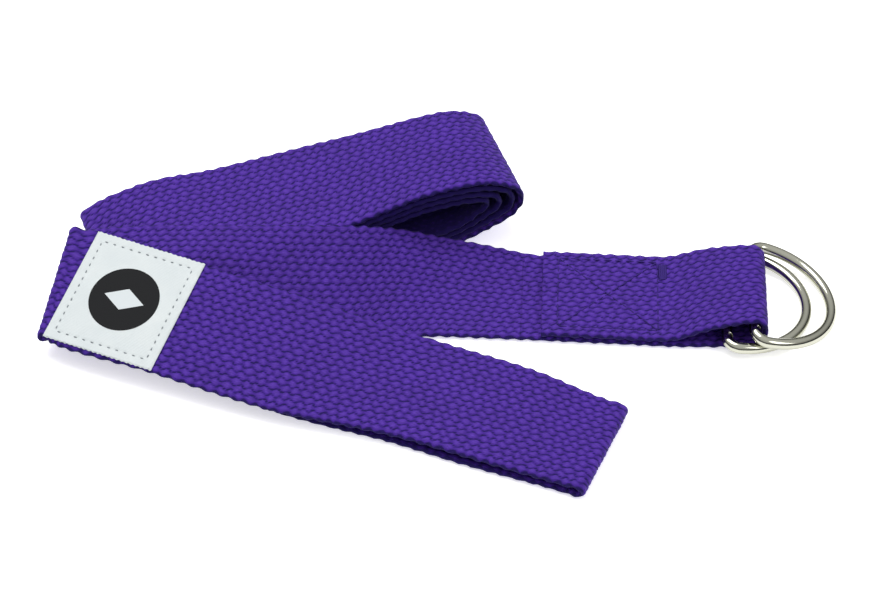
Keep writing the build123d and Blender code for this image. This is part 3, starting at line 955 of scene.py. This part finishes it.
@dataclass
class TailSeams:
    """Tone-on-tone thread that sews the tail down: a crossed box and a bar tack."""

    material: bpy.types.Material
    start: float = 4.7
    length: float = 30.0
    inset: float = 3.4
    pitch: float = 3.4
    stitch: float = 2.7
    thick: float = 0.5
    tack_rows: int = 11
    tack_from: float = 7.8  # across the strap
    tack_pitch: float = 0.62

    def build(self) -> None:
        """Builds the box seam and the bar tack."""
        up = Vector((0, 0, 1))
        height = LOOP_LOW_MM + PITCH_MM + HALF_THICK_MM - 0.05
        end, half = self.start + self.length, HALF_MM - self.inset
        box = Thread("box_seam", self.material, Slot.SEAM)
        corners = [(self.start, -half), (end, -half), (end, half), (self.start, half)]
        lines = list(zip(corners, corners[1:] + corners[:1]))
        lines += [(corners[0], corners[2]), (corners[1], corners[3])]
        for (ax, ay), (bx, by) in lines:
            box.seam(Vector((ax, ay, height)), Vector((bx, by, height)), up, self.pitch,
                     self.stitch, self.thick)
        box.finish("box_stitching")
        tack = Thread("bar_tack_thread", self.material, Slot.SEAM)
        for k in range(self.tack_rows):
            y = self.tack_from + k * self.tack_pitch
            tack.stitch(Vector((end + 1.6, y, height + 0.1)), Vector((1, 0.25, 0)), up, 3.0, 0.75)
        for k in range(4):
            tack.stitch(Vector((end + 0.7 + 0.6 * k, 10.9, height + 0.3)), Vector((0, 1, 0)), up,
                        6.2, 0.6)
        tack.finish("bar_tack")


@dataclass(frozen=True)
class Studio:
    """Plain pale floor, soft light and the photograph's camera."""

    floor_size: float = 1.6
    floor_drop: float = 0.0002
    floor_glow: float = 0.55
    sky_strength: float = 0.8
    # Sky's brightness from straight down (0) to straight up (1).
    sky: Tuple[Tuple[float, float], ...] = (
        (0.0, 0.02), (0.22, 0.03), (0.36, 0.35), (0.6, 0.8), (1.0, 1.0))

    def floor(self) -> None:
        """Lays the floor."""
        plane = bmesh.new()
        bmesh.ops.create_grid(plane, x_segments=1, y_segments=1, size=self.floor_size)
        bmesh.ops.translate(plane, verts=plane.verts, vec=(0, 0, -self.floor_drop))
        kit = NodeKit("floor")
        kit.shader.inputs["Base Color"].default_value = (0.95, 0.95, 0.95, 1)
        kit.shader.inputs["Roughness"].default_value = 0.9
        kit.shader.inputs["Emission Color"].default_value = (1, 1, 1, 1)
        kit.shader.inputs["Emission Strength"].default_value = self.floor_glow
        linked("floor", plane, kit.material)

    def light(self, name: str, at: Tuple[float, float, float], size: float,
              power: float) -> None:
        """Adds a soft area light aimed at the strap."""
        lamp = bpy.data.lights.new(name, "AREA")
        lamp.size, lamp.energy = size, power
        holder = bpy.data.objects.new(name, lamp)
        bpy.context.scene.collection.objects.link(holder)
        holder.location = at
        holder.rotation_euler = (-Vector(at)).to_track_quat("-Z", "Y").to_euler()

    def world(self) -> None:
        """Surrounds the strap with a bright sky over a dark band at the horizon."""
        world = bpy.data.worlds.new("world")
        world.use_nodes = True
        nodes, links = world.node_tree.nodes, world.node_tree.links
        place = nodes.new("ShaderNodeTexCoord")
        split = nodes.new("ShaderNodeSeparateXYZ")
        ramp = nodes.new("ShaderNodeValToRGB")
        while len(ramp.color_ramp.elements) < len(self.sky):
            ramp.color_ramp.elements.new(0.5)
        for element, (position, value) in zip(ramp.color_ramp.elements, self.sky):
            element.position, element.color = position, (value, value, value, 1)
        links.new(place.outputs["Generated"], split.inputs["Vector"])
        links.new(split.outputs["Z"], ramp.inputs["Fac"])
        background = nodes["Background"]
        links.new(ramp.outputs["Color"], background.inputs["Color"])
        background.inputs["Strength"].default_value = self.sky_strength
        bpy.context.scene.world = world

    def camera(self) -> None:
        """Places the camera at the photograph's viewpoint."""
        lens = bpy.data.cameras.new("camera")
        lens.lens, lens.sensor_width, lens.sensor_fit = CAMERA_LENS, SENSOR_WIDTH, "HORIZONTAL"
        holder = bpy.data.objects.new("camera", lens)
        bpy.context.scene.collection.objects.link(holder)
        look = Vector(CAMERA_LOOK).normalized()
        right = look.cross(Vector((0, 0, 1))).normalized()
        up = right.cross(look)
        turned = right * math.cos(CAMERA_ROLL) + up * math.sin(CAMERA_ROLL)
        raised = up * math.cos(CAMERA_ROLL) - right * math.sin(CAMERA_ROLL)
        place = Matrix((turned, raised, -look)).transposed().to_4x4()
        place.translation = Vector(CAMERA_AT)
        holder.matrix_world = place
        bpy.context.scene.camera = holder

    def build(self) -> None:
        """Sets up floor, light, world and camera."""
        self.floor()
        self.light("key", (-0.35, 0.35, 1.3), 0.8, 13.0)
        self.light("fill", (0.8, -0.5, 0.9), 0.6, 3.0)
        self.world()
        scene = bpy.context.scene
        scene.view_settings.view_transform = "Standard"
        self.camera()


def main() -> None:
    """Builds the strap and its studio."""
    logging.basicConfig(level=logging.INFO, format="%(message)s")
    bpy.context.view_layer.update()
    # Webbing: the gap colour is painted shade and the crown colour a painted highlight around the
    # purple yarn's own body colour.
    webbing = WovenFinish(gap=linear(20, 0, 78), body=linear(58, 24, 130),
                          crown=linear(80, 46, 154)).build("webbing")
    nickel = PlatedFinish(colour=linear(186, 186, 172)).build("nickel")
    cloth = TwillFinish(light=linear(216, 222, 222), dark=linear(203, 210, 212)).build("cloth")
    # Painted shade: the label's thread is white, and its grey colour stands for the shade in the
    # stitch holes.
    shaded_white_thread = ThreadFinish(linear(138, 146, 150)).build("label_thread")
    ink = ThreadFinish(linear(5, 7, 12), 0.9).build("ink")
    seam = ThreadFinish(linear(44, 14, 112), 0.85).build("seam_thread")
    Webbing(webbing).build()
    Rings(nickel).build()
    Label(cloth, shaded_white_thread, ink).build()
    TailSeams(seam).build()
    Studio().build()


if __name__ == "__main__":
    main()
